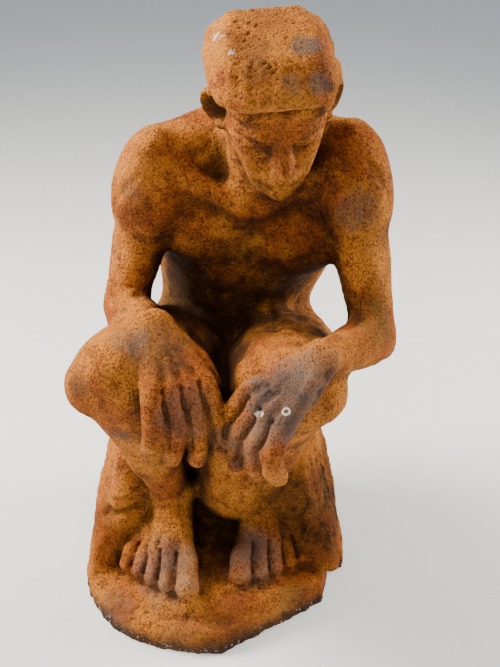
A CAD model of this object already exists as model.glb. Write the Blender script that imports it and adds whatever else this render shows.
# %% [markdown]
# # A rusty cast iron garden statue
#
# The real object is one hollow casting of grey iron that has stood outdoors until it rusted all over.
# A seated man rests his forearms on his thighs, on a rough rock with a low oval plinth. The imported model
# gives the form at its real size. This lesson dresses it: it takes a copy of that form, presses finer
# clay onto it, carves it, and then makes the rust.

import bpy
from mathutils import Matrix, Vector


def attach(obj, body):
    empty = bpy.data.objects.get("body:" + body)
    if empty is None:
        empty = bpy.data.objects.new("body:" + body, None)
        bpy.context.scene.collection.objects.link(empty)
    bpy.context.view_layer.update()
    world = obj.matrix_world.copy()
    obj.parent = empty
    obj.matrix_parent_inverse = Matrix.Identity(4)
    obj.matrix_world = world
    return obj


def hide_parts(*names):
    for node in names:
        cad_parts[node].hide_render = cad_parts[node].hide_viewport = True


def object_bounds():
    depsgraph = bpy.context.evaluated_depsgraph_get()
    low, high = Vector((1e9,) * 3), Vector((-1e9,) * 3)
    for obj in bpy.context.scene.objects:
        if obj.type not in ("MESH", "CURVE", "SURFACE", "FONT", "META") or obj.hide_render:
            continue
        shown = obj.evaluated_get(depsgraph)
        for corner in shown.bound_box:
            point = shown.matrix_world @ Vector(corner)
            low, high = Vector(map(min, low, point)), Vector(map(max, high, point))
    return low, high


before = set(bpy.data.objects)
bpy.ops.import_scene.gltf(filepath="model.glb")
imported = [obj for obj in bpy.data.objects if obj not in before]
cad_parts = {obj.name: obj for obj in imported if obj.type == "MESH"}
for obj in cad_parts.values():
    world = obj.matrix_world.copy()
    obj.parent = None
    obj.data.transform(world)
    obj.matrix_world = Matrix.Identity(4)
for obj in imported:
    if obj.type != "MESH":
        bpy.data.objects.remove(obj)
cad_box = [list(corner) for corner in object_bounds()]

import math
import random

import bpy
import numpy as np
from mathutils import Matrix, Vector
from mathutils.bvhtree import BVHTree
from mathutils.kdtree import KDTree

NODE = "seated_man_statue"
print("the packed statue measures", [round(high - low, 4) for low, high in zip(*cad_box)])

# %% [markdown]
# ## The photographer's place
#
# The picture was taken from about a metre away and from above the statue's head, so the head looks
# large and the feet look small. A camera needs its place, the point that it looks at and its focal
# length. The focal length is in pixels of the picture here, because that is how a picture is measured,
# and Blender wants it as a share of the sensor's longer side.

# %% Camera
PHOTO_HEIGHT = 667
FOCAL_PIXELS = 1020
SENSOR_MM = 36
CAMERA_PLACE = Vector((0.045, -1.085, 0.90))
CAMERA_TARGET = Vector((0.045, -0.035, 0.345))

aim = (CAMERA_TARGET - CAMERA_PLACE).to_track_quat("-Z", "Y")
bpy.ops.object.camera_add(location=CAMERA_PLACE, rotation=aim.to_euler())
camera = bpy.context.object
camera.data.sensor_width = SENSOR_MM
camera.data.lens = FOCAL_PIXELS / PHOTO_HEIGHT * SENSOR_MM
bpy.context.scene.camera = camera
print("lens", round(camera.data.lens, 1), "mm")

# %% [markdown]
# ## Floor and light
#
# Open shade lights the real statue from the sky on both sides, which leaves its middle darker than its
# edges. Two big soft lamps, high at the left and lower at the right, make the same light edges, and a
# weak one from the front opens the shadows. The lamps are a little warm and the sky is a little cool,
# as in late sun. The floor is plain and pale, and glows faintly, so it stays pale under soft lamps.

# %% Floor and lamps
FLOOR_SIZE = 12.0
FLOOR_COLOUR = (0.84, 0.87, 0.90, 1)
FLOOR_GLOW = 0.26
FLOOR_ROUGHNESS = 0.9

bpy.ops.mesh.primitive_plane_add(size=FLOOR_SIZE, location=(0, 0, 0))
floor = bpy.context.object
floor.name = "floor"
floor_paint = bpy.data.materials.new("pale_floor")
floor_paint.use_nodes = True
paint = floor_paint.node_tree.nodes["Principled BSDF"].inputs
paint["Base Color"].default_value = paint["Emission Color"].default_value = FLOOR_COLOUR
paint["Roughness"].default_value = FLOOR_ROUGHNESS
paint["Emission Strength"].default_value = FLOOR_GLOW
floor.data.materials.append(floor_paint)

LAMPS = {
    # place, size, watts
    "sky_left": ((-1.25, 0.25, 1.45), 0.9, 84),
    "sky_right": ((1.35, 0.50, 1.15), 0.9, 41),
    "front_fill": ((-0.5, -1.9, 2.1), 1.3, 15),
}
LAMP_TARGET = Vector((0.02, 0, 0.38))
WARM_LIGHT = (1.0, 0.91, 0.76)
COOL_SKY = (0.80, 0.90, 1.0, 1)
SKY_STRENGTH = 0.24
for lamp_name, (place, size, watts) in LAMPS.items():
    turn = (LAMP_TARGET - Vector(place)).to_track_quat("-Z", "Y")
    bpy.ops.object.light_add(type="AREA", location=place, rotation=turn.to_euler())
    lamp = bpy.context.object
    lamp.name = lamp_name
    lamp.data.size = size
    lamp.data.energy = watts
    lamp.data.color = WARM_LIGHT

sky = bpy.data.worlds.new("overcast")
sky.use_nodes = True
sky.node_tree.nodes["Background"].inputs["Color"].default_value = COOL_SKY
sky.node_tree.nodes["Background"].inputs["Strength"].default_value = SKY_STRENGTH
bpy.context.scene.world = sky
print(len(LAMPS), "lamps over a floor of", FLOOR_SIZE, "m")

# %% [markdown]
# ## Helpers for the steps
#
# Most steps take one object, or some of its corners, and apply a modifier to it. An operator acts on all
# that is selected, so the helpers deselect everything first. A vertex group tells a modifier where to
# work and how hard.

# %% Selecting and applying
def select_only(thing):
    bpy.ops.object.select_all(action="DESELECT")
    thing.select_set(True)
    bpy.context.view_layer.objects.active = thing


def apply(thing, kind, **settings):
    """Adds a modifier with these settings and makes its result the mesh."""
    select_only(thing)
    modifier = thing.modifiers.new(kind.lower(), kind)
    for setting, value in settings.items():
        setattr(modifier, setting, value)
    bpy.ops.object.modifier_apply(modifier=modifier.name)


def select_corners(thing, wanted):
    """Leaves the object in edit mode with only the corners selected that the test wants."""
    select_only(thing)
    bpy.ops.object.mode_set(mode="EDIT")
    bpy.ops.mesh.select_mode(type="VERT")
    bpy.ops.mesh.select_all(action="DESELECT")
    bpy.ops.object.mode_set(mode="OBJECT")
    for corner in thing.data.vertices:
        corner.select = wanted(corner)
    bpy.ops.object.mode_set(mode="EDIT")


def weigh(thing, name, weight):
    """A vertex group with the weight that the function gives at each corner's place."""
    group = thing.vertex_groups.new(name=name)
    for corner in thing.data.vertices:
        group.add([corner.index], max(0.0, min(1.0, weight(corner.co))), "REPLACE")


# %% [markdown]
# ## The figure's own measure
#
# Sculptors measure a figure by its own parts. Every place below is a share of the figure's unit, which
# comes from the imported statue's height, and is counted from the middle of the plinth's top. The joints
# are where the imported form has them, so fine clay lands where it belongs. The head, each hand and each
# foot have a side, a front and an up of their own, so work on them is the same however they turn.

# %% Measure and joints
PLINTH_THICKNESS = 0.030
HAIR_TOP = 0.947
UNIT = (cad_box[1][2] - PLINTH_THICKNESS) / HAIR_TOP
UP, FORWARD, LEFT = Vector((0, 0, 1)), Vector((0, -1, 0)), Vector((1, 0, 0))
OUTER = {"right": -1, "left": 1}


def joint(x, y, z):
    return Vector((x, y, z)) * UNIT + UP * PLINTH_THICKNESS


HIP = {"right": joint(-0.052, 0.135, 0.303), "left": joint(0.118, 0.135, 0.303)}
KNEE = {"right": joint(-0.128, -0.182, 0.436), "left": joint(0.122, -0.178, 0.418)}
ANKLE = {"right": joint(-0.072, -0.066, 0.130), "left": joint(0.084, -0.034, 0.126)}
TOES = {"right": Vector((-0.05, -1, -0.22)), "left": Vector((-0.02, -1, -0.22))}
SHOULDER = {"right": joint(-0.078, -0.012, 0.700), "left": joint(0.212, -0.010, 0.706)}
ELBOW = {"right": joint(-0.152, 0.045, 0.440), "left": joint(0.262, -0.070, 0.440)}
WRIST = {"right": joint(-0.078, -0.165, 0.506), "left": joint(0.160, -0.232, 0.490)}
HAND_ALONG = {"right": Vector((0.35, -0.75, -0.56)), "left": Vector((-0.72, -0.40, -0.58))}
HAND_BACK = {"right": Vector((0.25, -0.50, 0.83)), "left": Vector((-0.38, -0.50, 0.72))}
PELVIS = joint(0.033, 0.150, 0.308)
WAIST = joint(0.038, 0.150, 0.433)
CHEST = joint(0.064, 0.088, 0.600)
SKULL = joint(0.098, -0.072, 0.818)
HEAD_HEIGHT = 0.232 * UNIT
HEAD_TURNS = ((8, "Z"), (30, "X"), (-4, "Y"))
FOOT_UNIT = 0.86 * UNIT
ANKLE_ABOVE_SOLE = 0.088
print("the figure's unit is", round(UNIT, 4), "m")


# %% Local frames
class Place:
    """A spot on the body with a side, a front and an up of its own, and its own unit."""

    def __init__(self, origin, side, front, up, unit):
        self.origin, self.side, self.front, self.up, self.unit = origin, side, front, up, unit
        self.turn = Matrix((side, front, up)).transposed()

    def at(self, side, front, up):
        return self.origin + (self.side * side + self.front * front + self.up * up) * self.unit

    def ball(self, side, front, up, wide, deep=None, high=None):
        """A ball of clay as (place, turn, radii). With three radii it is an ellipsoid."""
        radii = (wide, wide if deep is None else deep, wide if high is None else high)
        return self.at(side, front, up), self.turn.to_euler(), [radius * self.unit for radius in radii]


turn = Matrix.Identity(3)
for degrees, axis in HEAD_TURNS:
    turn = turn @ Matrix.Rotation(math.radians(degrees), 3, axis)
HEAD = Place(SKULL, turn @ LEFT, turn @ FORWARD, turn @ UP, HEAD_HEIGHT)

HAND, FOOT = {}, {}
for side, outer in OUTER.items():
    along = HAND_ALONG[side].normalized()
    thumb = (along.cross(HAND_BACK[side]) * outer).normalized()
    HAND[side] = Place(WRIST[side], thumb, along, (thumb.cross(along) * outer).normalized(), UNIT)
    front = TOES[side].normalized()
    across = front.cross(UP).normalized()
    sole = ANKLE[side] - across.cross(front) * ANKLE_ABOVE_SOLE * FOOT_UNIT
    FOOT[side] = Place(sole, across * outer, front, across.cross(front), FOOT_UNIT)
print("frames for the head,", len(HAND), "hands and", len(FOOT), "feet")

# %% [markdown]
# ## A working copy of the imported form
#
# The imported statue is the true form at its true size, made of about 9,500 triangles, so its skin is in
# facets. The new skin starts as a copy of it. The copy's loose triangles are merged, its foot is drawn
# out below the ground so that the foot can be cut flat and sharp at the end, and a voxel remesh gives
# it an even net. Rubbing that net smooth takes the facets off the body. The head, the hands and the
# feet are spared, because rubbing would take their carving too.

# %% Merged copy
FOOT_DRAWN_OUT = 0.012
SKIN_VOXEL = 0.003
BODY_RUBS = 16
SPARED_HEAD, SPARED_LIMB = 0.13 * UNIT, 0.10 * UNIT
UNDERSIDE = 0.0006

casting = bpy.data.objects.new("cast_iron_figure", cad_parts[NODE].data.copy())
bpy.context.scene.collection.objects.link(casting)
select_only(casting)
bpy.ops.object.mode_set(mode="EDIT")
bpy.ops.mesh.select_all(action="SELECT")
bpy.ops.mesh.remove_doubles(threshold=1e-6)
bpy.ops.object.mode_set(mode="OBJECT")
packed_skin = casting.data.copy()
print("merged to", len(packed_skin.vertices), "corners")


def spared(place):
    """1 on the body and the rock, 0 on the head, the hands and the feet."""
    reaches = [(SKULL, SPARED_HEAD)]
    for side in OUTER:
        reaches += [(HAND[side].at(0, 0.12, 0), SPARED_LIMB), (FOOT[side].at(0, 0.11, 0.03), SPARED_LIMB)]
    return min((place - centre).length / reach - 0.8 for centre, reach in reaches) * 3


select_corners(casting, lambda corner: corner.co.z < UNDERSIDE)
bpy.ops.transform.translate(value=(0, 0, -FOOT_DRAWN_OUT))
bpy.ops.object.mode_set(mode="OBJECT")
apply(casting, "REMESH", mode="VOXEL", voxel_size=SKIN_VOXEL)
weigh(casting, "body", spared)
apply(casting, "SMOOTH", factor=0.5, iterations=BODY_RUBS, vertex_group="body")
print("an even net of", len(casting.data.vertices), "corners")

# %% [markdown]
# ## Hollows of the ears
#
# The ears open forwards and outwards, each a deep shell with a thin rim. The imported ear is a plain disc,
# so an egg-shaped thumb is pressed into it first, and the rim is laid round the hollow as fresh clay.

# %% Hollows of the ears
EAR_PLACE = (0.352, -0.045, -0.020)
EAR_HOLLOW = (0.086, 0.118, 0.125)     # half across, half high and how deep, in heads
EAR_HOLLOW_OUT = 0.038


def press(thing, place, way, up, across, high, deep):
    """Presses an egg into the skin along this way, as far as its deepest point."""
    side = way.cross(up).normalized()
    pressed = 0
    for corner in thing.data.vertices:
        offset = corner.co - place
        spread = (offset.dot(side) / across) ** 2 + (offset.dot(up) / high) ** 2
        if spread < 1:
            limit, reached = deep * math.sqrt(1 - spread), offset.dot(way)
            if -limit < reached < limit:
                corner.co += way * (limit - reached)
                pressed += 1
    thing.data.update()
    print("pressed in", pressed, "corners")


for outer in (-1, 1):
    away, front, up = EAR_PLACE
    opening = HEAD.at(outer * (away + EAR_HOLLOW_OUT), front + EAR_HOLLOW_OUT, up)
    inwards = (HEAD.side * -outer - HEAD.front).normalized()
    press(casting, opening, inwards, HEAD.up, *[radius * HEAD_HEIGHT for radius in EAR_HOLLOW])

# %% [markdown]
# ## Fresh clay
#
# Forms that stand proud of the skin are added as lumps, as a sculptor presses pellets of clay onto a
# figure. A lump is a few balls under one tight skin, the convex hull, so two balls make a tapered roll
# and six make a facet of rock. All lumps are made in one mesh. A finished lump is hidden, so that
# selecting everything takes only the lump in hand.

# %% The clay
class Clay:
    """A mesh in edit mode that lumps are added to, one after the other."""

    def __init__(self, name):
        self.thing = bpy.data.objects.new(name, bpy.data.meshes.new(name))
        bpy.context.scene.collection.objects.link(self.thing)
        select_only(self.thing)
        bpy.ops.object.mode_set(mode="EDIT")

    def lump(self, *balls):
        """One tight skin over balls, each given as (place, turn, radii)."""
        for place, turn, radii in balls:
            bpy.ops.mesh.primitive_ico_sphere_add(subdivisions=2, radius=1, location=place, rotation=turn,
                                                  scale=radii)
        bpy.ops.mesh.select_all(action="SELECT")
        bpy.ops.mesh.convex_hull()
        bpy.ops.mesh.normals_make_consistent(inside=False)
        bpy.ops.mesh.hide()

    def roll(self, balls):
        """A roll of clay through a row of balls."""
        for first, second in zip(balls, balls[1:]):
            self.lump(first, second)

    def finished(self):
        bpy.ops.mesh.reveal()
        bpy.ops.object.mode_set(mode="OBJECT")
        return self.thing


def pellet(place, radius):
    """A round ball at a place of the statue, with its radius in metres."""
    return place, (0, 0, 0), (radius, radius, radius)


def mirrored(spots):
    """Spots on one side of the head and the same on the other, each with its side's sign."""
    for outer in (-1, 1):
        yield outer, [(outer * away, *place) for away, *place in spots]


clay = Clay("fresh_clay")

# %% [markdown]
# ## Head
#
# The hair is a thick square cap that stands out over the forehead with a rolled edge and comes down
# over the tops of the ears. The face is a plain, calm one: the eyes are half way up the head and closed,
# the nose ends half way from brow to chin, and the mouth is a third of the way below it.

# %% Hair
HAIR_CAP = (
    # away from the middle, front, up and radius in heads
    (0.000, 0.360, 0.395, 0.060), (0.190, 0.335, 0.382, 0.062), (0.300, 0.240, 0.355, 0.066),
    (0.322, 0.060, 0.325, 0.070), (0.322, -0.150, 0.310, 0.074), (0.280, -0.330, 0.280, 0.080),
    (0.225, 0.170, 0.430, 0.090), (0.232, -0.060, 0.440, 0.095), (0.180, -0.280, 0.400, 0.090),
    (0.000, 0.170, 0.440, 0.090), (0.000, -0.060, 0.450, 0.090),
)
HAIR_SHIFT = -0.030
HAIR_OVER_EARS = ((0.330, 0.020, 0.290, 0.062), (0.372, -0.010, 0.150, 0.044))
FOREHEAD = (0.105, 0.275, 0.215, 0.130, 0.092, 0.110)

clay.lump(*[HEAD.ball(away + HAIR_SHIFT, *place) for outer, cap in mirrored(HAIR_CAP)
            for away, *place in cap])
for outer, sideburn in mirrored(HAIR_OVER_EARS):
    clay.roll([HEAD.ball(*spot) for spot in sideburn])
clay.lump(*[HEAD.ball(*spot) for outer, (spot,) in mirrored([FOREHEAD])])
print("hair cap of", 2 * len(HAIR_CAP), "balls")

# %% Lids, lips and ears
EYELID = (0.128, 0.284, 0.000, 0.068, 0.062, 0.050)
UPPER_LIP = ((0.082, 0.350, -0.270, 0.018), (0.030, 0.396, -0.250, 0.021), (0.000, 0.398, -0.256, 0.020))
LOWER_LIP = ((0.066, 0.356, -0.296, 0.019), (0.000, 0.388, -0.304, 0.028))
EAR_HALF = (0.080, 0.130)
EAR_FLARE = 0.084
EAR_RIM, EAR_ROOT = 0.019, 0.020
EAR_ROOT_IN, EAR_ROOT_SHARE = 0.095, 0.7
EAR_TURNS = [math.radians(30 * hour) for hour in range(13)]
EAR_LUMPS = (
    # the lobe and the cheek before the ear: how far from the ear's place, then the radii
    (-0.010, 0.020, -0.128, 0.030, 0.048, 0.036),
    (-0.090, 0.120, -0.025, 0.024, 0.075, 0.105),
)

for outer, (lid,) in mirrored([EYELID]):
    clay.lump(HEAD.ball(*lid))
for lip in (UPPER_LIP, LOWER_LIP):
    for outer, spots in mirrored(lip):
        clay.roll([HEAD.ball(*spot) for spot in spots])
for outer in (-1, 1):
    away, front, up = EAR_PLACE
    rim = [HEAD.ball(outer * (away + EAR_FLARE * math.cos(turn)), front - EAR_HALF[0] * math.cos(turn),
                     up + EAR_HALF[1] * math.sin(turn), EAR_RIM) for turn in EAR_TURNS]
    root = [HEAD.ball(outer * (away - EAR_ROOT_IN), front - EAR_HALF[0] * EAR_ROOT_SHARE * math.cos(turn),
                      up + EAR_HALF[1] * EAR_ROOT_SHARE * math.sin(turn), EAR_ROOT) for turn in EAR_TURNS]
    for number in range(len(rim) - 1):
        clay.lump(*rim[number:number + 2], *root[number:number + 2])
    for outwards, forwards, upwards, *radii in EAR_LUMPS:
        clay.lump(HEAD.ball(outer * (away + outwards), front + forwards, up + upwards, *radii))
print("each ear has a rim of", len(EAR_TURNS) - 1, "lumps")

# %% [markdown]
# ## Hands and feet
#
# A finger is three bones with a knuckle at each joint and a nail on the last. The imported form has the
# bones, and a roll of clay over them rounds the finger off. Small pellets on its back make the knuckles,
# and a flat one makes the nail. A toe is done in the same way, without the pellets.

# %% Fingers
FINGERS = (
    # place across the palm, length beside the middle finger's, curl of each joint in degrees
    (0.042, 0.93, (22, 22, 16)),
    (0.014, 1.00, (26, 26, 18)),
    (-0.014, 0.95, (30, 28, 20)),
    (-0.042, 0.80, (34, 30, 22)),
)
PALM_LENGTH = 0.108
PHALANGES = (0.052, 0.035, 0.027)
FINGER_RADII = (0.0178, 0.0168, 0.0160, 0.0146)
KNUCKLE_RADII = (0.0158, 0.0148, 0.0138)
FINGER_SPLAY = 2.4
KNUCKLE_RISE = 0.0040
NAIL = (0.0082, 0.0105, 0.0045)
NAIL_SIZE, NAIL_RISE, NAIL_BACK = 0.9, 0.0112, 0.0010


def finger_joints(side):
    """For each finger, its joints as (place, the way its bone points, the way its back faces)."""
    hand = HAND[side]
    thumb, along, back = hand.side, hand.front, hand.up
    bend = back.cross(along)
    found = []
    for across, length, curls in FINGERS:
        place = hand.at(across, PALM_LENGTH, 0.001)
        aim = (along + thumb * across * FINGER_SPLAY).normalized()
        joints = [(place, aim, back)]
        for bone_length, curl in zip(PHALANGES, curls):
            aim = Matrix.Rotation(math.radians(curl), 3, bend) @ aim
            place = place + aim * bone_length * length * UNIT
            joints.append((place, aim, aim.cross(bend).normalized()))
        found.append(joints)
    return found


def nail(clay, place, aim, back, size):
    """A flat pellet that lies along the aim and faces back. It gives the nail's frame."""
    frame_here = Place(place, aim.cross(back).normalized(), aim, back, UNIT)
    clay.lump(frame_here.ball(0, 0, 0, *[radius * size for radius in NAIL]))
    return frame_here


NAILS = []
for side in OUTER:
    for joints in finger_joints(side):
        clay.roll([pellet(place, radius * UNIT) for (place, _, _), radius in zip(joints, FINGER_RADII)])
        for (place, aim, back), radius in zip(joints[:3], KNUCKLE_RADII):
            clay.lump(pellet(place + back * KNUCKLE_RISE * UNIT, radius * UNIT))
        place, aim, back = joints[3]
        spot = place + back * NAIL_RISE * UNIT - aim * NAIL_BACK * UNIT
        NAILS.append((nail(clay, spot, aim, back, NAIL_SIZE), NAIL_SIZE))
print(len(NAILS), "fingers with nails")

# %% Toes
TOE_LENGTHS = (0.066, 0.062, 0.056, 0.048, 0.040)
TOE_RADII = (0.0245, 0.0168, 0.0160, 0.0152, 0.0145)
TOE_PLACES = (0.036, 0.000, -0.026, -0.050, -0.072)
TOE_ROOT, TOE_FAN, TOE_SPLAY = 0.116, 0.30, 0.10
TOE_HEIGHT, TIP_HEIGHT = 0.026, 0.010
TOE_NAIL_PLACE, TOE_NAIL_RISE, TOE_NAIL_SIZE, NAILED_RADIUS = 0.78, 1.10, 0.94, 0.0135


def toe_line(toe):
    """The toe's root, middle and tip in its foot's frame."""
    sideways, length = TOE_PLACES[toe], TOE_LENGTHS[toe]
    root, splay = TOE_ROOT - abs(sideways - 0.030) * TOE_FAN, sideways * TOE_SPLAY
    return ((sideways, root, TOE_HEIGHT), (sideways + splay, root + length * 0.55, TOE_HEIGHT),
            (sideways + splay * 1.6, root + length * 0.95, TIP_HEIGHT))


for side in OUTER:
    foot = FOOT[side]
    for toe, radius in enumerate(TOE_RADII):
        root, middle, tip = toe_line(toe)
        knuckle = (middle[0], middle[1] - 0.010, middle[2] + 0.004)
        clay.roll([foot.ball(*root, radius * 0.94), foot.ball(*knuckle, radius * 0.96),
                   foot.ball(tip[0], tip[1] - 0.003, tip[2] + 0.006, radius * 1.00)])
        slope = (Vector(tip) - Vector(middle)).normalized()
        aim = (foot.front * slope.y + foot.up * slope.z + foot.side * slope.x).normalized()
        back = foot.side.cross(aim) * (1 if foot.side.cross(aim).z > 0 else -1)
        size = radius / NAILED_RADIUS * TOE_NAIL_SIZE
        spot = foot.at(*Vector(middle).lerp(Vector(tip), TOE_NAIL_PLACE))
        spot += back * radius * TOE_NAIL_RISE * FOOT_UNIT
        NAILS.append((nail(clay, spot, aim, back, size), size))
print("and toes,", len(NAILS), "nails in all")

# %% [markdown]
# ## Rock and mound
#
# The rock was modelled in flat cuts with hard edges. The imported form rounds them, so each of its lumps
# is laid again over the same corners with a smaller ball, pushed out to the same skin. The top of the
# plinth swells up towards the feet as one mound, so low lumps fill the step between the two.

# %% Cuts of the rock
PLINTH_WIDTH = 0.335
PLINTH_DEPTH = 0.385
ROCK_EDGE = 0.014
SHARP_EDGE = 0.003
ROCK_LAYERS = (
    # height in the figure's units, then half width, front and back in shares of the plinth's sides
    (0.000, 0.465, -0.420, 0.460),
    (0.029, 0.450, -0.090, 0.455),
    (0.072, 0.435, -0.050, 0.445),
    (0.137, 0.405, -0.050, 0.425),
    (0.202, 0.365, -0.090, 0.385),
)
ROCK_LEDGES = (
    # corners of the two lumps outside each leg: sideways, front and height in the same shares
    ((0.440, -0.240, 0.000), (0.190, -0.150, 0.000), (0.405, -0.215, 0.080), (0.190, -0.100, 0.092),
     (0.435, 0.100, 0.000), (0.425, 0.100, 0.090)),
    ((0.365, -0.175, 0.075), (0.400, -0.060, 0.100), (0.170, -0.090, 0.092), (0.315, -0.120, 0.200),
     (0.350, -0.020, 0.218), (0.170, -0.060, 0.210), (0.385, 0.100, 0.100), (0.350, 0.080, 0.212)),
)
ROCK_SIDES, ROCK_SEED, ROCK_WOBBLE = 10, 7, 0.06
ROCK_SHARE = 0.85
SQUARENESS = 0.8


def rounded_square(turn, half_width, half_depth):
    """A point of an oval with squared corners, at this angle from the front."""
    x = half_width * math.copysign(abs(math.sin(turn)) ** SQUARENESS, math.sin(turn))
    y = -half_depth * math.copysign(abs(math.cos(turn)) ** SQUARENESS, math.cos(turn))
    return x, y


def rock_lump(corners):
    """A hard-edged lump over the corners of a rounded one."""
    places = [Vector((x * PLINTH_WIDTH, y * PLINTH_DEPTH, PLINTH_THICKNESS + z * UNIT))
              for x, y, z in corners]
    middle = sum(places, Vector()) / len(places)
    out = ROCK_EDGE * ROCK_SHARE - SHARP_EDGE
    clay.lump(*[pellet(place + (place - middle).normalized() * out, SHARP_EDGE) for place in places])


rough = random.Random(ROCK_SEED)
rings = []
for height, half_width, front, back in ROCK_LAYERS:
    ring = []
    for step_round in range(ROCK_SIDES):
        turn = 2 * math.pi * (step_round + 0.5 * rough.random()) / ROCK_SIDES
        reach = 1 + ROCK_WOBBLE * (rough.random() - 0.5)
        x, y = rounded_square(turn, half_width * reach, (back - front) / 2 * reach)
        ring.append((x, y + (front + back) / 2, height))
    rings.append(ring)
for lower, upper in zip(rings[1:], rings[2:]):
    rock_lump(lower + upper)
for outer in OUTER.values():
    for ledge in ROCK_LEDGES:
        rock_lump([(outer * x, y, z) for x, y, z in ledge])
print("the rock has", len(ROCK_LAYERS) - 2, "layers and", 2 * len(ROCK_LEDGES), "ledges")

# %% Mound under the feet
MOUND = ((0.30, 0.016), (0.37, 0.007), (0.43, -0.006))     # reach in the plinth's sides, rise in metres
MOUND_BALL = 0.012

for reach, rise in MOUND:
    spots = []
    for degrees in range(-75, 76, 15):
        x, y = rounded_square(math.radians(degrees), reach * PLINTH_WIDTH, reach * PLINTH_DEPTH)
        spots.append(pellet(Vector((x, y, PLINTH_THICKNESS + rise - MOUND_BALL)), MOUND_BALL))
    clay.lump(*spots)
print("the mound has", len(MOUND), "steps")

# %% [markdown]
# ## One skin
#
# The clay still lies on the casting in separate lumps. They are joined to it, and two pieces that broke
# off the plinth's edge at the front left are planed away. A finer voxel remesh then draws one closed skin
# round it all, and three light rubs take off the steps that the voxels leave.

# %% One skin
FINE_VOXEL = 0.0016
FINE_RUBS = 3

# What is broken off the plinth: a place on each broken face, the way it faces, and its upper edge.
BREAKS = (
    ((0.064, -0.157, 0.0), (0.583, -0.812, 0.0), 0.040),
    ((0.138, -0.090, 0.0), (0.980, -0.200, 0.0), 0.046),
)
BROKEN_BACK_TO = -0.045


def plane_off(thing, place, facing, top):
    """Pushes what stands out past a plane back onto it, below this height."""
    facing = Vector(facing).normalized()
    moved = 0
    for corner in thing.data.vertices:
        excess = (corner.co - Vector(place)).dot(facing)
        if excess > 0 and corner.co.z < top and corner.co.y < BROKEN_BACK_TO:
            corner.co -= facing * excess
            moved += 1
    thing.data.update()
    print("broke off", moved, "corners")


lumps = clay.finished()
print("fresh clay has", len(lumps.data.polygons), "faces")
select_only(casting)
lumps.select_set(True)
bpy.ops.object.join()
for place, facing, top in BREAKS:
    plane_off(casting, place, facing, top)
apply(casting, "REMESH", mode="VOXEL", voxel_size=FINE_VOXEL)
apply(casting, "SMOOTH", factor=0.5, iterations=FINE_RUBS)
print("one skin of", len(casting.data.vertices), "corners")

# %% [markdown]
# ## Carving
#
# What lies in the skin is cut with strokes. A stroke is a line of points, a half width and a depth. Its
# points are dropped onto the skin, and every corner near the line is pushed in along its normal, most
# in the middle. A stroke with a depth below zero raises a ridge instead.

# %% The carving tool
def drawn(points, gap):
    """Points this far apart along the line through the given ones."""
    line = [Vector(points[0])]
    for first, second in zip(points, points[1:]):
        count = max(1, math.ceil((second - first).length / gap))
        line += [first.lerp(second, (number + 1) / count) for number in range(count)]
    return line


def carve(thing, strokes):
    """Cuts strokes, each (points, half width, depth) in metres, into the skin."""
    mesh = thing.data
    near_corners = KDTree(len(mesh.vertices))
    for corner in mesh.vertices:
        near_corners.insert(corner.co, corner.index)
    near_corners.balance()
    pushes = {}
    for points, half_width, depth in strokes:
        shares = {}
        for point in drawn(points, half_width / 2):
            on_skin = thing.closest_point_on_mesh(point)[1]
            for _, index, distance in near_corners.find_range(on_skin, half_width):
                share = (1 - (distance / half_width) ** 2) ** 2
                shares[index] = max(share, shares.get(index, 0.0))
        for index, share in shares.items():
            pushes[index] = pushes.get(index, 0.0) + depth * share
    moved = [(index, mesh.vertices[index].co - mesh.vertices[index].normal * push)
             for index, push in pushes.items()]
    for index, place in moved:
        mesh.vertices[index].co = place
    mesh.update()
    print(len(strokes), "strokes moved", len(moved), "corners")


strokes = []


def stroke(place, spots, half_width, depth):
    """A stroke through spots of a local frame. The half width and the depth are in millimetres."""
    strokes.append(([place.at(*spot) for spot in spots], half_width / 1000, depth / 1000))


# %% Strokes on the head
HEAD_STROKES = (
    # spots on one side, away from the middle, front and up in heads, then half width and depth
    (((0.066, 0.325, -0.016), (0.100, 0.345, -0.028), (0.130, 0.350, -0.032), (0.162, 0.335, -0.026),
      (0.194, 0.300, -0.010)), 2.2, 1.3),
    (((0.062, 0.330, 0.020), (0.095, 0.350, 0.044), (0.140, 0.345, 0.050), (0.195, 0.300, 0.022)), 3.0, 1.6),
    (((0.075, 0.330, -0.066), (0.130, 0.340, -0.076), (0.185, 0.300, -0.055)), 3.5, 0.8),
    (((0.028, 0.440, -0.200),), 2.6, 3.0),
    (((0.040, 0.420, -0.110), (0.070, 0.385, -0.135), (0.080, 0.360, -0.178)), 3.0, 1.6),
    (((0.000, 0.415, -0.278), (0.045, 0.400, -0.274), (0.098, 0.350, -0.278)), 2.4, 2.2),
    (((0.000, 0.395, -0.350), (0.060, 0.360, -0.345)), 5.0, 1.6),
    # under the edge of the hair, then the temple
    (((0.000, 0.400, 0.312), (0.110, 0.385, 0.302), (0.215, 0.340, 0.290), (0.290, 0.240, 0.274),
      (0.320, 0.130, 0.256)), 7.5, 5.0),
    (((0.300, 0.140, 0.160), (0.270, 0.120, 0.060)), 5.0, 1.2),
)
for outer in (-1, 1):
    for spots, half_width, depth in HEAD_STROKES:
        stroke(HEAD, [(outer * away, front, up) for away, front, up in spots], half_width, depth)
stroke(HEAD, [(0, 0.410, -0.195), (0, 0.410, -0.228)], 2.4, 1.0)
print(len(strokes), "strokes for the head")

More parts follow.
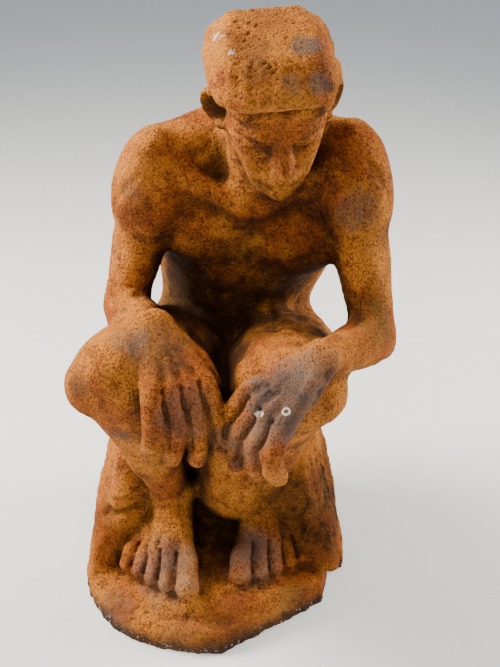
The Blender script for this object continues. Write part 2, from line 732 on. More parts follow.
# %% Locks of the hair
LOCK_GROOVES = ((-0.240, 0.9), (-0.150, 0.6), (-0.065, 0.8), (0.030, 0.5), (0.120, 0.9), (0.190, 0.7))
for sideways, depth in LOCK_GROOVES:
    stroke(HEAD, [(sideways * 1.25, 0.430, 0.380), (sideways * 1.15, 0.340, 0.480), (sideways, 0.150, 0.600),
                  (sideways * 0.85, -0.100, 0.640), (sideways * 0.60, -0.400, 0.480)], 9.0, depth)
for outer in (-1, 1):
    for row in range(5):
        front = 0.160 - 0.110 * row
        stroke(HEAD, [(outer * 0.300, front + 0.020, 0.340), (outer * 0.390, front, 0.180),
                      (outer * 0.380, front - 0.030, 0.020 - 0.030 * row)], 5.0, 1.3)
print(len(strokes), "with the hair")

# %% Strokes on the hands
BETWEEN_RISE, BACK_RISE, CREASE_GAP = 0.008, 0.016, 0.0022

for side in OUTER:
    hand = HAND[side]
    fingers = finger_joints(side)
    for first, second in zip(fingers, fingers[1:]):
        between = [(one[0] + two[0]) / 2 + (one[2] + two[2]) * BETWEEN_RISE * UNIT
                   for one, two in zip(first, second)]
        knuckles = (first[0][0] + second[0][0]) / 2
        start = knuckles.lerp(hand.at(0, 0.02, 0.02), 0.22) + hand.up * 0.012 * UNIT
        strokes.append(([start, between[0]], 0.0060, 0.0010))
        strokes.append((between[:3], 0.0046, 0.0036))
    for joints in fingers:
        place, _, back = joints[0]
        wrist_spot = hand.at(0, 0.015, 0.026)
        knuckle = place + back * BACK_RISE * UNIT
        strokes.append(([wrist_spot.lerp(knuckle, share) for share in (0.25, 0.6, 0.95)], 0.0042, -0.0011))
        for place, aim, back in joints[1:3]:
            across = aim.cross(back).normalized()
            for shift in (-CREASE_GAP, CREASE_GAP):
                middle = place + back * BACK_RISE * UNIT + aim * shift
                strokes.append(([middle - across * 0.005, middle + across * 0.005], 0.0014, 0.0006))
print(len(strokes), "with the hands")

# %% Strokes on the feet
for side in OUTER:
    foot = FOOT[side]
    lines = [toe_line(toe) for toe in range(5)]
    for first, second in zip(lines, lines[1:]):
        between = [tuple((Vector(one) + Vector(two)) / 2 + Vector((0, 0, 0.012)))
                   for one, two in zip(first, second)]
        stroke(foot, between, 2.9, 3.6)
        start = Vector(between[0]) + Vector((0, -0.030, 0.012))
        stroke(foot, [tuple(start), between[0]], 6.0, 1.0)
    for root, _, _ in lines:
        stroke(foot, [(root[0] * 0.35, 0.045, 0.095), (root[0] * 0.7, 0.085, 0.070),
                      (root[0], root[1], 0.055)], 4.0, -0.9)
print(len(strokes), "with the feet")

# %% Rims of the nails
for frame_here, size in NAILS:
    ring = [(NAIL[0] * size * 1.05 * math.sin(turn), -NAIL[1] * size * 0.95 * math.cos(turn), 0.004)
            for turn in [math.radians(degrees) for degrees in range(-110, 111, 20)]]
    stroke(frame_here, ring, 1.9, 1.4)
print(len(strokes), "with the nails")

# %% [markdown]
# ## Muscles
#
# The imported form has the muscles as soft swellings. Long shallow strokes between them draw them as the
# sculptor did: down the breastbone and the belly, under the chest, along the spine, round each kneecap
# and between the muscles of the limbs.

# %% Strokes on the body
class Bone(Place):
    """A frame from one joint to another. Its third offset is the share of the way along."""

    def __init__(self, start, end, front):
        along = (end - start).normalized()
        side = front.cross(along).normalized()
        super().__init__(start, side, along.cross(side), along, UNIT)
        self.length = (end - start).length

    def at(self, side, front, along):
        sideways = (self.side * side + self.front * front) * self.unit
        return self.origin + sideways + self.up * along * self.length


trunk, ribs = Bone(PELVIS, WAIST, FORWARD), Bone(WAIST, CHEST, FORWARD)
stroke(ribs, [(0, 0.14, 1.45), (0, 0.14, 1.10), (0, 0.14, 0.75)], 8, 2.0)
stroke(ribs, [(0, 0.14, 0.70), (0, 0.14, 0.20), (0, 0.13, -0.40)], 7, 1.5)
stroke(ribs, [(0, 0.13, -0.46), (0, 0.13, -0.52)], 4.5, 4.0)
stroke(ribs, [(0, -0.14, 1.50), (0, -0.14, 0.80), (0, -0.14, 0.00), (0, -0.13, -0.60)], 14, 3.2)
stroke(trunk, [(0, -0.14, 0.00), (0, -0.13, -0.45)], 8, 5.0)
for outer in (-1, 1):
    stroke(ribs, [(outer * 0.020, 0.14, 0.72), (outer * 0.080, 0.13, 0.66),
                  (outer * 0.135, 0.09, 0.85)], 7, 1.8)
    for along in (0.30, -0.08):
        stroke(ribs, [(0, 0.14, along), (outer * 0.060, 0.12, along + 0.05)], 7, 1.3)
    for row in range(4):
        stroke(ribs, [(outer * 0.095, 0.10, 0.48 - 0.26 * row),
                      (outer * 0.150, 0.02, 0.66 - 0.26 * row)], 6, 1.4)
    stroke(ribs, [(outer * 0.050, -0.14, 1.60), (outer * 0.058, -0.14, 1.20),
                  (outer * 0.085, -0.14, 0.85)], 14, 2.6)
    stroke(ribs, [(outer * 0.085, -0.14, 0.85), (outer * 0.140, -0.10, 1.02)], 12, 2.0)

LIMB_STROKES = (
    # limb, then spots as outwards, front and share of the way along, then half width and depth
    ("upper arm", ((0.030, 0.060, -0.05), (0.052, 0.040, 0.20), (0.050, 0.015, 0.47)), 7, 1.8),
    ("upper arm", ((0.030, -0.060, 0.08), (0.050, -0.030, 0.30), (0.050, 0.005, 0.47)), 7, 1.8),
    ("upper arm", ((0.050, 0.010, 0.50), (0.040, 0.010, 0.92)), 6, 1.6),
    ("upper arm", ((-0.045, 0.005, 0.25), (-0.040, 0.005, 0.85)), 6, 1.6),
    ("upper arm", ((0.012, -0.060, 0.40), (0.012, -0.050, 0.80)), 7, 1.5),
    ("forearm", ((-0.002, 0.050, 0.06), (-0.004, 0.040, 0.62)), 6, 1.5),
    ("forearm", ((0.040, 0.010, 0.10), (0.034, 0.008, 0.60)), 6, 1.3),
    ("thigh", ((0.030, 0.10, 0.30), (0.024, 0.09, 0.88)), 9, 1.8),
    ("thigh", ((-0.024, 0.10, 0.45), (-0.020, 0.09, 0.90)), 8, 1.8),
    ("thigh", ((0.090, 0.040, 0.20), (0.080, 0.020, 0.85)), 9, 1.8),
    ("shin", ((0.0, 0.070, 0.22), (0.0, 0.050, 0.85)), 4, -0.9),
    ("shin", ((-0.060, 0.010, 0.16), (-0.040, 0.005, 0.68)), 7, 1.8),
    ("shin", ((0.060, 0.010, 0.16), (0.040, 0.005, 0.68)), 7, 1.6),
)
for side, outer in OUTER.items():
    limbs = {"upper arm": Bone(SHOULDER[side], ELBOW[side], FORWARD),
             "forearm": Bone(ELBOW[side], WRIST[side], UP),
             "thigh": Bone(HIP[side], KNEE[side], UP), "shin": Bone(KNEE[side], ANKLE[side], FORWARD)}
    for limb, spots, half_width, depth in LIMB_STROKES:
        stroke(limbs[limb], [(outer * out, front, along) for out, front, along in spots], half_width, depth)
    cap_way = (limbs["thigh"].up - limbs["shin"].up).normalized()
    cap = Place(KNEE[side], cap_way.orthogonal().normalized(),
                cap_way.cross(cap_way.orthogonal()).normalized(), cap_way, UNIT)
    ring = [math.radians(30 * hour) for hour in range(13)]
    stroke(cap, [(0.043 * math.sin(turn), 0.047 * math.cos(turn), 0.085) for turn in ring], 7, 1.9)
notch = (SHOULDER["right"] + SHOULDER["left"]) / 2 + Vector((0, -0.045, -0.045)) * UNIT
strokes.append(([notch], 0.010, 0.003))
for side in OUTER:
    hollow = notch.lerp(SHOULDER[side], 0.5) + Vector((0, 0.025, 0.060)) * UNIT
    strokes.append(([hollow, hollow.lerp(SHOULDER[side], 0.35)], 0.013, 0.0032))
print(len(strokes), "with the body")

# %% [markdown]
# ## Scars of the casting
#
# Gas in the molten iron left small pits, mostly on top of the head, on the right knee and foot and on
# the rock beside it. The rock's left flank was raked downwards with a tool. Both are many like marks,
# so loops scatter them from a seeded dice. A few deeper cuts and a ledge beside the right foot have
# places of their own. Then all the strokes are carved at once.

# %% Rake marks and pits
DICE_SEED = 11
RAKE_MARKS, RAKE_START, RAKE_GAP = 17, -0.092, 0.016

dice = random.Random(DICE_SEED)
for number in range(RAKE_MARKS):
    y = RAKE_START + RAKE_GAP * number + dice.uniform(-0.004, 0.004)
    top, foot_z = dice.uniform(0.165, 0.200), dice.uniform(0.035, 0.070)
    sway = dice.uniform(-0.006, 0.010)
    strokes.append(([Vector((0.150, y, top)), Vector((0.165, y + sway, (top + foot_z) / 2)),
                     Vector((0.175, y + 2 * sway, foot_z))],
                    dice.uniform(0.0035, 0.0060), dice.uniform(0.0012, 0.0026)))
CRACKS = (
    # cuts in the flanks and the back of the rock
    ((-0.170, 0.040, 0.150), (-0.170, 0.070, 0.090), (-0.180, 0.080, 0.050)),
    ((-0.150, 0.110, 0.180), (-0.160, 0.130, 0.110), (-0.150, 0.160, 0.060)),
    ((-0.060, 0.210, 0.190), (-0.070, 0.220, 0.110), (-0.050, 0.220, 0.050)),
    ((0.070, 0.210, 0.180), (0.050, 0.220, 0.120), (0.080, 0.220, 0.060)),
    ((0.130, 0.150, 0.200), (0.150, 0.170, 0.130), (0.140, 0.180, 0.070)),
    ((-0.170, -0.010, 0.070), (-0.170, 0.050, 0.085), (-0.160, 0.110, 0.075)),
)
for crack in CRACKS:
    strokes.append(([Vector(place) for place in crack], 0.005, 0.0026))
LEDGE = ((-0.150, -0.030, 0.128), (-0.127, -0.062, 0.132), (-0.107, -0.067, 0.138), (-0.089, -0.060, 0.139))
LEDGE_HOLLOW = ((-0.138, -0.060, 0.110), (-0.122, -0.072, 0.113), (-0.106, -0.070, 0.116),
                (-0.092, -0.063, 0.118))
strokes.append(([Vector(place) for place in LEDGE], 0.006, -0.0030))
strokes.append(([Vector(place) for place in LEDGE_HOLLOW], 0.010, 0.0065))

PIT_FIELDS = (
    # middle, spread of the field in metres, how many
    (HEAD.at(-0.14, 0.22, 0.56), 0.036, 34),
    (HEAD.at(0.10, 0.10, 0.60), 0.040, 12),
    (HEAD.at(-0.02, 0.38, 0.40), 0.030, 8),
    (KNEE["right"] + Vector((-0.030, -0.030, 0.050)), 0.034, 20),
    (FOOT["right"].at(-0.03, 0.09, 0.07), 0.022, 12),
    (Vector((-0.140, -0.080, 0.060)), 0.040, 26),
    (Vector((-0.060, -0.150, 0.034)), 0.050, 18),
    (Vector((0.080, -0.140, 0.034)), 0.050, 14),
    (SHOULDER["right"] + Vector((-0.020, 0.010, 0.050)), 0.040, 10),
    (Vector((0.150, 0.020, 0.080)), 0.050, 14),
    (Vector((0.000, 0.200, 0.100)), 0.080, 24),
    (CHEST + Vector((0.0, 0.110, 0.060)), 0.080, 16),
)
HEAD_PITS = (
    # the largest, where the photograph shows them, all slanting one way
    (0.048, -0.052, 0.711), (0.072, -0.060, 0.709), (0.044, -0.073, 0.703), (0.031, -0.071, 0.704),
    (0.043, -0.090, 0.696), (0.009, -0.045, 0.691), (0.010, -0.078, 0.679), (0.088, -0.074, 0.704),
    (0.059, -0.123, 0.677), (0.068, -0.127, 0.670), (0.036, -0.080, 0.701), (0.052, -0.078, 0.702),
    (0.040, -0.098, 0.692), (0.064, -0.125, 0.673),
)
PIT_SLANT = Vector((0.0016, 0.0016, 0.0010))
for place in HEAD_PITS:
    strokes.append(([Vector(place) - PIT_SLANT, Vector(place) + PIT_SLANT], 0.0014, 0.0028))
for middle, spread_out, count in PIT_FIELDS:
    for number in range(count):
        start = middle + Vector([dice.gauss(0, spread_out / 2) for axis in range(3)])
        run = Vector([dice.uniform(-0.0022, 0.0022) for axis in range(3)])
        strokes.append(([start, start + run], dice.uniform(0.0013, 0.0022), dice.uniform(0.0009, 0.0020)))

carve(casting, strokes)

# %% [markdown]
# ## Cast roughness
#
# A sand mould never gives a true surface. Displace modifiers push the skin in and out by clouds of
# noise: broad and shallow all over, finer for the sand's own grain, and coarser and deeper on the rock,
# on the mound and round the rim, which the mould's edge broke up. The foot is then cut flat on the
# ground, and a Decimate modifier spends the triangles where the skin bends.

# %% Uneven skin
DENTS = (
    # name, the size of its clouds and its strength in metres, the vertex group it keeps to, its detail
    ("hammered", 0.030, 0.0022, "", 2),
    ("grain", 0.0065, 0.0008, "", 2),
    ("sand", 0.0038, 0.0006, "", 2),
    ("rough_rock", 0.020, 0.0048, "rock", 3),
    ("coarse_rock", 0.006, 0.0019, "rock", 2),
    ("broken_rim", 0.009, 0.0034, "rim", 3),
)
ROCK_TOP, ROCK_FADE = 0.26, 0.012
RIM_TOP, RIM_FADE = 0.022, 0.012
LEG_REACH, FOOT_REACH, THIGH_REACH, HIP_REACH = 0.052, 0.058, 0.082, 0.135


def dent(thing, name, size, strength, group, detail):
    """Pushes the skin in and out by clouds of this size."""
    cloud = bpy.data.textures.new(name, "CLOUDS")
    cloud.noise_scale = size
    cloud.noise_depth = detail
    apply(thing, "DISPLACE", texture=cloud, texture_coords="LOCAL", strength=strength, mid_level=0.5,
          vertex_group=group)


def rockiness(place):
    """1 on the rock, the mound and the plinth, 0 on the figure."""
    if place.z > ROCK_TOP:
        return 0.0
    legs = min((place - KNEE[side].lerp(ANKLE[side], share)).length - LEG_REACH for side in OUTER
               for share in (0.0, 0.25, 0.5, 0.75, 1.0))
    feet = min((place - FOOT[side].at(0, 0.07, 0.04)).length - FOOT_REACH for side in OUTER)
    thighs = min((place - HIP[side].lerp(KNEE[side], share)).length - THIGH_REACH for side in OUTER
                 for share in (0.0, 0.33, 0.66, 1.0))
    hips = (place - PELVIS).length - HIP_REACH
    below_feet = max(0.0, 0.040 - place.z) * 60
    return max(min(legs, feet, thighs, hips) / ROCK_FADE, below_feet)


weigh(casting, "rock", rockiness)
weigh(casting, "rim", lambda place: (RIM_TOP - place.z) / RIM_FADE)
for row in DENTS:
    dent(casting, *row)
print(len(DENTS), "kinds of dents on", len(casting.data.vertices), "corners")

# %% Flat foot and final net
MOST_TRIANGLES = 195000

select_only(casting)
bpy.ops.object.mode_set(mode="EDIT")
bpy.ops.mesh.select_all(action="SELECT")
bpy.ops.mesh.bisect(plane_co=(0, 0, 0), plane_no=(0, 0, 1), use_fill=True, clear_inner=True)
bpy.ops.object.mode_set(mode="OBJECT")
casting.data.calc_loop_triangles()
apply(casting, "DECIMATE", ratio=min(1.0, MOST_TRIANGLES / len(casting.data.loop_triangles)))
bpy.ops.object.shade_smooth()
casting.data.calc_loop_triangles()
print("the casting has", len(casting.data.loop_triangles), "triangles")

# %% [markdown]
# ## Where dirt gathers and where weather reaches
#
# On the real iron the open faces are bright orange, and the sheltered ones are dark brown, because rain
# never washes them. A material can't see that by itself, so each corner of the mesh is given two
# numbers that the material reads. The shelter is the share of the sky that the statue hides there,
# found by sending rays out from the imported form. The fold says how deep a corner lies in a crease, and
# is found by comparing the skin with a smoothed copy of itself.

# %% Shelter
RAYS = 64
RAY_REACH = 0.30
RAY_START = 0.006
GROUND_SHADE = 0.5
SHELTER_ROUNDS, FOLD_ROUNDS, FOLD_BLUR = 6, 10, 2


def directions(count):
    """Directions spread evenly over a ball."""
    golden = math.pi * (3 - math.sqrt(5))
    found = []
    for step in range(count):
        height = 1 - 2 * (step + 0.5) / count
        flat = math.sqrt(1 - height * height)
        found.append(Vector((math.cos(golden * step) * flat, math.sin(golden * step) * flat, height)))
    return found


def shelter_of(mesh):
    """For each corner, the share of its sky that the mesh hides, from 0 to 1."""
    corners = [corner.co for corner in mesh.vertices]
    tree = BVHTree.FromPolygons(corners, [face.vertices for face in mesh.polygons])
    rays = directions(RAYS)
    hidden = []
    for corner in mesh.vertices:
        start = corner.co + corner.normal * RAY_START
        open_sky = blocked = 0.0
        for ray in rays:
            facing = ray.dot(corner.normal)
            if facing < 0.1:
                continue
            open_sky += facing
            if tree.ray_cast(start, ray, RAY_REACH)[0] is not None:
                blocked += facing
            elif ray.z < 0:
                blocked += facing * GROUND_SHADE
        hidden.append(blocked / open_sky if open_sky else 1.0)
    return hidden


def carried_over(source, numbers, target):
    """Numbers on one mesh's corners, read at the other mesh's corners from the nearest few."""
    near = KDTree(len(source.vertices))
    for index, corner in enumerate(source.vertices):
        near.insert(corner.co, index)
    near.balance()
    result = np.zeros(len(target.vertices))
    for index, corner in enumerate(target.vertices):
        found = near.find_n(corner.co, 3)
        weights = [1 / (distance + 0.001) for _, _, distance in found]
        result[index] = sum(w * numbers[i] for w, (_, i, _) in zip(weights, found)) / sum(weights)
    return result


def edge_ends(mesh):
    ends = np.zeros(len(mesh.edges) * 2, np.int64)
    mesh.edges.foreach_get("vertices", ends)
    return ends.reshape(-1, 2)


def spread(values, ends, rounds):
    """Each value mixed with its neighbours' mean, this many times."""
    count = np.bincount(ends.ravel(), minlength=len(values))
    for _ in range(rounds):
        total = np.bincount(ends[:, 0], values[ends[:, 1]], len(values))
        total += np.bincount(ends[:, 1], values[ends[:, 0]], len(values))
        values = 0.5 * values + 0.5 * total / count
    return values


def fold_of(mesh, rounds):
    """How far each corner lies below a smoothed copy of the skin, in metres. It is below zero on edges."""
    flat = np.zeros(len(mesh.vertices) * 3)
    mesh.vertices.foreach_get("co", flat)
    places = flat.reshape(-1, 3)
    mesh.vertices.foreach_get("normal", flat)
    normals = flat.reshape(-1, 3).copy()
    mesh.vertices.foreach_get("co", flat)
    ends = edge_ends(mesh)
    smooth = np.stack([spread(places[:, axis], ends, rounds) for axis in range(3)], axis=1)
    return ((smooth - places) * normals).sum(axis=1)


def store(mesh, name, values):
    layer = mesh.attributes.new(name, "FLOAT", "POINT")
    layer.data.foreach_set("value", np.asarray(values, np.float32))


shelter = carried_over(packed_skin, shelter_of(packed_skin), casting.data)
shelter = spread(shelter, edge_ends(casting.data), SHELTER_ROUNDS)
store(casting.data, "shelter", shelter)
fold = spread(fold_of(casting.data, FOLD_ROUNDS), edge_ends(casting.data), FOLD_BLUR)
store(casting.data, "fold", fold * 1000)
print("shelter from", round(shelter.min(), 2), "to", round(shelter.max(), 2))

# %% [markdown]
# ## Sums on sockets
#
# A material's pattern is arithmetic on textures. Adding each Math node by hand hides the sum, so one
# small class wraps an output socket, and Python's own signs add the nodes. A colour must not go
# through a Math node, which would turn it grey, so colours are only ever mixed.

# %% The wrapper
class Wire:
    """An output in a material's node tree. Arithmetic on it adds Math nodes."""

    def __init__(self, tree, socket=None):
        self.tree, self.socket = tree, socket

    def node(self, kind, settings, inputs, output=0):
        """Adds a node, sets its settings, then fills its inputs with values or wires."""
        made = self.tree.nodes.new(kind)
        for setting, value in settings.items():
            setattr(made, setting, value)
        for name, value in inputs.items():
            if isinstance(value, Wire):
                self.tree.links.new(value.socket, made.inputs[name])
            else:
                made.inputs[name].default_value = value
        return Wire(self.tree, made.outputs[output])

    def math(self, operation, *others):
        values = others if any(isinstance(value, Wire) for value in others) else (self, *others)
        return self.node("ShaderNodeMath", {"operation": operation}, dict(enumerate(values)))

    def __add__(self, other):
        return self.math("ADD", self, other)

    def __sub__(self, other):
        return self.math("SUBTRACT", self, other)

    def __mul__(self, other):
        return self.math("MULTIPLY", self, other)

    def __rsub__(self, other):
        return self.math("SUBTRACT", other, self)

    __radd__ = __add__
    __rmul__ = __mul__


# %% [markdown]
# ## Patterns
#
# Every pattern reads the object's own coordinates, in metres, so it stays on the iron in any view.
# Noise gives clouds of any size. A soft step turns a cloud into a patch with an edge. A place and a
# reach give one patch where the photo shows it, with its outline broken up by the noise.

# %% Pattern helpers
def noise(where, size, detail=3.0, roughness=0.55, output=0):
    """Clouds about this many metres across, with values round 0.5."""
    return where.node("ShaderNodeTexNoise", {}, {"Vector": where, "Scale": 1 / size, "Detail": detail,
                                                 "Roughness": roughness}, output)


def step(value, low, high):
    """0 below low, 1 above high and a soft rise between them. It falls instead where low is above high."""
    if low > high:
        return 1 - step(value, high, low)
    return value.node("ShaderNodeMapRange", {"interpolation_type": "SMOOTHSTEP"},
                      {"Value": value, "From Min": low, "From Max": high})


def mixed(mask, first, second):
    """The first colour where the mask is 0 and the second where it is 1."""
    mixer = mask.tree.nodes.new("ShaderNodeMix")
    mixer.data_type = "RGBA"
    for socket, value in ((mixer.inputs[0], mask), (mixer.inputs[6], first), (mixer.inputs[7], second)):
        if isinstance(value, Wire):
            mask.tree.links.new(value.socket, socket)
        else:
            socket.default_value = (*value, 1)
    return Wire(mask.tree, mixer.outputs[2])


def away_from(place):
    """The distance from this place of the statue, in metres."""
    return where.node("ShaderNodeVectorMath", {"operation": "DISTANCE"}, {0: where, 1: place}, 1)


def patch(place, reach, ragged, pattern):
    """1 round the place, falling to 0 at this reach. The pattern pushes its outline in and out."""
    return step(away_from(place) + (pattern - 0.5) * ragged, reach, reach * 0.45)


# %% [markdown]
# ## Rusted iron
#
# The rust is built up as the weather built it: a warm ochre skin, clouds of deeper orange and red-brown
# over it, then the fine speckle of the casting sand, with grains darker and lighter than the skin, and
# pores. Colours are mixed one over the other, so the last one lies on top.

# %% Rust colours
OCHRE = (0.68, 0.245, 0.036)
ORANGE = (0.44, 0.112, 0.016)
RED_BROWN = (0.125, 0.034, 0.009)
DARK_BROWN = (0.023, 0.010, 0.005)
BARE_GREY = (0.205, 0.145, 0.120)
PURPLE_GREY = (0.105, 0.076, 0.068)
PURPLE_BROWN = (0.090, 0.045, 0.028)
BLUE_GREY = (0.150, 0.128, 0.120)
SOOT = (0.030, 0.024, 0.022)
MOSS = (0.13, 0.105, 0.030)
CHALK = (0.80, 0.71, 0.60)

iron = bpy.data.materials.new("rusty_cast_iron_skin")
iron.use_nodes = True
tree = iron.node_tree
shader = tree.nodes["Principled BSDF"]
where = Wire(tree).node("ShaderNodeTexCoord", {}, {}, "Object")
height = where.node("ShaderNodeSeparateXYZ", {}, {"Vector": where}, "Z")
sheltered = Wire(tree).node("ShaderNodeAttribute", {"attribute_name": "shelter"}, {}, "Fac")
folded = Wire(tree).node("ShaderNodeAttribute", {"attribute_name": "fold"}, {}, "Fac")

# %% Rust clouds
CLOUD_SIZE, BLOTCH_SIZE, MOTTLE_SIZE, STREAK_SIZE = 0.085, 0.052, 0.020, 0.010
SPECKLE_SIZE, GRIT_SIZE, PORE_SIZE = 0.0026, 0.0011, 0.0036
DRAWN_DOWN = (1, 1, 0.25)

clouds = noise(where, CLOUD_SIZE, 4)
mottle = noise(where, MOTTLE_SIZE, 8, 0.74)
drawn_down = where.node("ShaderNodeMapping", {}, {"Vector": where, "Scale": DRAWN_DOWN})
streaks = noise(drawn_down, STREAK_SIZE, 6, 0.65)
speckle = noise(where, SPECKLE_SIZE, 3, 0.60)
grit = noise(where, GRIT_SIZE, 2, 0.7)
grains = speckle * 0.6 + grit * 0.4

pores = where.node("ShaderNodeTexVoronoi", {}, {"Vector": where, "Scale": 1 / PORE_SIZE}, "Distance")
pores = step(pores + (mottle - 0.5) * 0.5, 0.30, 0.12)

colour = mixed(step(clouds + mottle * 0.6, 0.68, 0.94), OCHRE, ORANGE)
colour = mixed(step(noise(where, BLOTCH_SIZE, 5, 0.6), 0.50, 0.68) * 0.50, colour, RED_BROWN)
colour = mixed(step(mottle * 0.7 + streaks * 0.4 + grains * 0.6, 0.84, 1.02) * 0.75, colour, RED_BROWN)
colour = mixed(step(grains, 0.47, 0.62) * 0.68, colour, RED_BROWN)
colour = mixed(step(grains, 0.44, 0.34) * 0.40, colour, OCHRE)
colour = mixed(pores * 0.25, colour, DARK_BROWN)
print("rust clouds of", len(tree.nodes), "nodes")

# %% [markdown]
# ## Patches
#
# Hands have rubbed the back of the left hand, the right knee and the toes down to a purplish grey, and
# a grey bloom lies on the hair's left front. Moss holds on at the waist, where water stays. Each patch is
# a place on the statue with a reach, and is worn through in grains, because an even one looks painted
# on. They come before the dirt, so that dirt lies over them.

# %% Rubbed places, bloom and moss
PATCHES = (
    # place, reach in metres, how strong, colour. The last two are the hollows of the ears.
    (0.070, -0.128, 0.665, 0.055, 0.65, OCHRE), (0.010, -0.090, 0.670, 0.040, 0.60, OCHRE),
    (-0.080, -0.040, 0.545, 0.050, 0.60, OCHRE), (-0.120, -0.120, 0.390, 0.040, 0.50, OCHRE),
    (0.080, -0.205, 0.362, 0.062, 0.85, BARE_GREY), (0.078, -0.206, 0.358, 0.040, 0.90, PURPLE_GREY),
    (0.060, -0.190, 0.350, 0.026, 0.60, PURPLE_GREY), (0.115, -0.185, 0.378, 0.036, 0.60, BARE_GREY),
    (0.045, -0.205, 0.310, 0.034, 0.60, BARE_GREY), (0.019, -0.193, 0.303, 0.022, 0.70, PURPLE_GREY),
    (0.034, -0.199, 0.279, 0.016, 0.80, SOOT), (-0.020, -0.200, 0.340, 0.040, 0.50, BARE_GREY),
    (-0.050, -0.155, 0.392, 0.044, 0.85, PURPLE_BROWN), (-0.081, -0.145, 0.397, 0.026, 0.50, BARE_GREY),
    (-0.135, -0.166, 0.353, 0.020, 0.75, PURPLE_BROWN), (-0.096, -0.156, 0.284, 0.018, 0.85, PURPLE_GREY),
    (-0.100, -0.160, 0.330, 0.020, 0.60, PURPLE_BROWN), (-0.057, -0.135, 0.075, 0.052, 0.75, BARE_GREY),
    (-0.050, -0.120, 0.082, 0.026, 0.55, PURPLE_GREY), (0.050, -0.105, 0.072, 0.046, 0.75, BARE_GREY),
    (0.050, -0.096, 0.078, 0.024, 0.60, PURPLE_GREY), (-0.120, -0.150, 0.020, 0.040, 0.60, PURPLE_GREY),
    (-0.038, -0.178, 0.025, 0.030, 0.55, PURPLE_BROWN), (0.050, -0.106, 0.686, 0.020, 0.55, PURPLE_BROWN),
    (0.052, -0.125, 0.669, 0.020, 0.55, PURPLE_BROWN), (0.061, -0.066, 0.706, 0.030, 0.55, RED_BROWN),
    (0.096, -0.104, 0.689, 0.016, 0.75, BLUE_GREY), (0.108, -0.102, 0.690, 0.012, 0.60, BLUE_GREY),
    (0.110, -0.130, 0.661, 0.016, 0.90, BLUE_GREY), (0.084, -0.136, 0.662, 0.014, 0.60, PURPLE_GREY),
    (0.118, -0.125, 0.657, 0.010, 0.90, SOOT), (0.128, -0.186, 0.376, 0.013, 0.95, SOOT),
    (0.120, -0.197, 0.360, 0.012, 0.95, SOOT), (0.112, -0.203, 0.350, 0.009, 0.80, SOOT),
    (0.160, -0.055, 0.505, 0.030, 0.65, PURPLE_GREY), (0.190, -0.035, 0.470, 0.026, 0.60, SOOT),
    (-0.084, -0.046, 0.525, 0.018, 0.55, PURPLE_GREY), (-0.050, 0.070, 0.345, 0.050, 0.75, MOSS),
    (0.185, -0.085, 0.385, 0.036, 0.60, MOSS), (0.100, -0.140, 0.030, 0.034, 0.45, MOSS),
    (0.140, -0.060, 0.110, 0.085, 0.95, DARK_BROWN), (0.135, 0.020, 0.100, 0.080, 0.70, DARK_BROWN),
    (-0.130, -0.060, 0.085, 0.040, 0.70, DARK_BROWN), (0.030, -0.200, 0.010, 0.060, 0.60, DARK_BROWN),
    (0.003, -0.043, 0.618, 0.019, 0.90, DARK_BROWN), (0.135, -0.029, 0.626, 0.019, 0.90, DARK_BROWN),
)
worn_through = step(mottle * 0.4 + streaks * 0.3 + grains * 0.3, 0.56, 0.42)
for *place, reach, strength, patch_colour in PATCHES:
    ragged = patch(place, reach, reach * 2.0, mottle * 0.6 + grains * 0.4)
    colour = mixed(ragged * (worn_through * 0.5 + 0.5) * strength, colour, patch_colour)
# Grains of rust and dark sand show through the patches too.
colour = mixed(step(grains, 0.50, 0.62) * 0.42, colour, DARK_BROWN)
colour = mixed(step(grains, 0.42, 0.33) * 0.35, colour, ORANGE)
print(len(PATCHES), "patches make it", len(tree.nodes))

# %% [markdown]
# ## Dirt, the rim and chalk
#
# Dirt fills the shelter and the creases. The plinth's edge stood in wet ground, so it is nearly black,
# with grains of lime along it. Splashes of something white dried on the hair, and two on the left
# hand, one of them a ring.

# %% Dirt
DIRT_IN_SHELTER, DIRT_IN_FOLDS = 0.88, 0.5

dirt = step(sheltered + (mottle - 0.5) * 0.9, 0.30, 0.85)
colour = mixed(dirt * DIRT_IN_SHELTER, colour, DARK_BROWN)
dirt = step(folded + (mottle - 0.5) * 1.2 + (speckle - 0.5) * 0.6, 0.0, 1.1)
colour = mixed(dirt * DIRT_IN_FOLDS, colour, DARK_BROWN)
print("with dirt", len(tree.nodes), "nodes")

# %% Rim, lime and dust
RIM_HEIGHT = 0.024
LIME_SIZE, DUST_SIZE = 0.0042, 0.0022

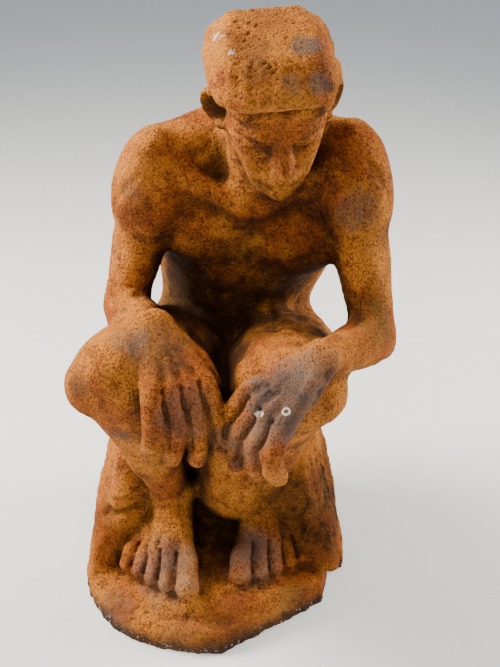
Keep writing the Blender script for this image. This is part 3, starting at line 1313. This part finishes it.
rim = step(height + (mottle - 0.5) * 0.022 + (speckle - 0.5) * 0.006, RIM_HEIGHT, RIM_HEIGHT * 0.2)
colour = mixed(rim * 0.80, colour, SOOT)
lime = step(noise(where, LIME_SIZE, 2), 0.62, 0.70) * step(height + (speckle - 0.5) * 0.02, 0.016, 0.006)
colour = mixed(lime * 0.9, colour, CHALK)
dust = step(noise(where, DUST_SIZE, 2, 0.5), 0.735, 0.78)
colour = mixed(dust * 0.7, colour, CHALK)
print("the dark rim is", RIM_HEIGHT, "m high")

# %% Splashes
SPLASHES = (
    # place and reach in metres
    ((0.014, -0.080, 0.692), 0.0070), ((0.021, -0.090, 0.692), 0.0056), ((0.028, -0.110, 0.684), 0.0046),
    ((0.053, -0.205, 0.341), 0.0050), ((0.058, -0.212, 0.346), 0.0034),
)
RING_PLACE, RING_RADIUS, RING_WIDTH = (0.081, -0.219, 0.354), 0.0035, 0.0016

for place, reach in SPLASHES:
    colour = mixed(patch(place, reach, reach * 2.2, speckle) * 0.9, colour, CHALK)
off_ring = (away_from(RING_PLACE) + (speckle - 0.5) * 0.0016 - RING_RADIUS).math("ABSOLUTE")
colour = mixed(step(off_ring, RING_WIDTH, RING_WIDTH * 0.4) * 0.95, colour, CHALK)
print(len(SPLASHES), "splashes and a ring")

# %% [markdown]
# ## Finish
#
# Rust is nearly matt and doesn't mirror as bare metal does, so it isn't metallic here and its gloss is
# low. Grains under a millimetre are too fine for the mesh, so a Bump node tilts the light on them.

# %% Finish of the rust
ROUGHEST, RUBBED_SMOOTHER = 0.92, 0.18
GLOSS = 0.14
GRAIN_DEPTH = 0.0018

tree.links.new(colour.socket, shader.inputs["Base Color"])
tree.links.new((ROUGHEST - RUBBED_SMOOTHER * step(mottle, 0.4, 0.7)).socket, shader.inputs["Roughness"])
shader.inputs["Metallic"].default_value = 0.0
shader.inputs["Specular IOR Level"].default_value = GLOSS
relief = speckle * 1.3 + grit * 0.6 + mottle * 0.6 - pores * 0.7
bump = Wire(tree).node("ShaderNodeBump", {}, {"Height": relief, "Distance": GRAIN_DEPTH, "Strength": 1.0})
tree.links.new(bump.socket, shader.inputs["Normal"])
print("the rust has", len(tree.nodes), "nodes")

casting.data.materials.clear()
casting.data.materials.append(iron)
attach(casting, "root")
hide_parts(NODE)
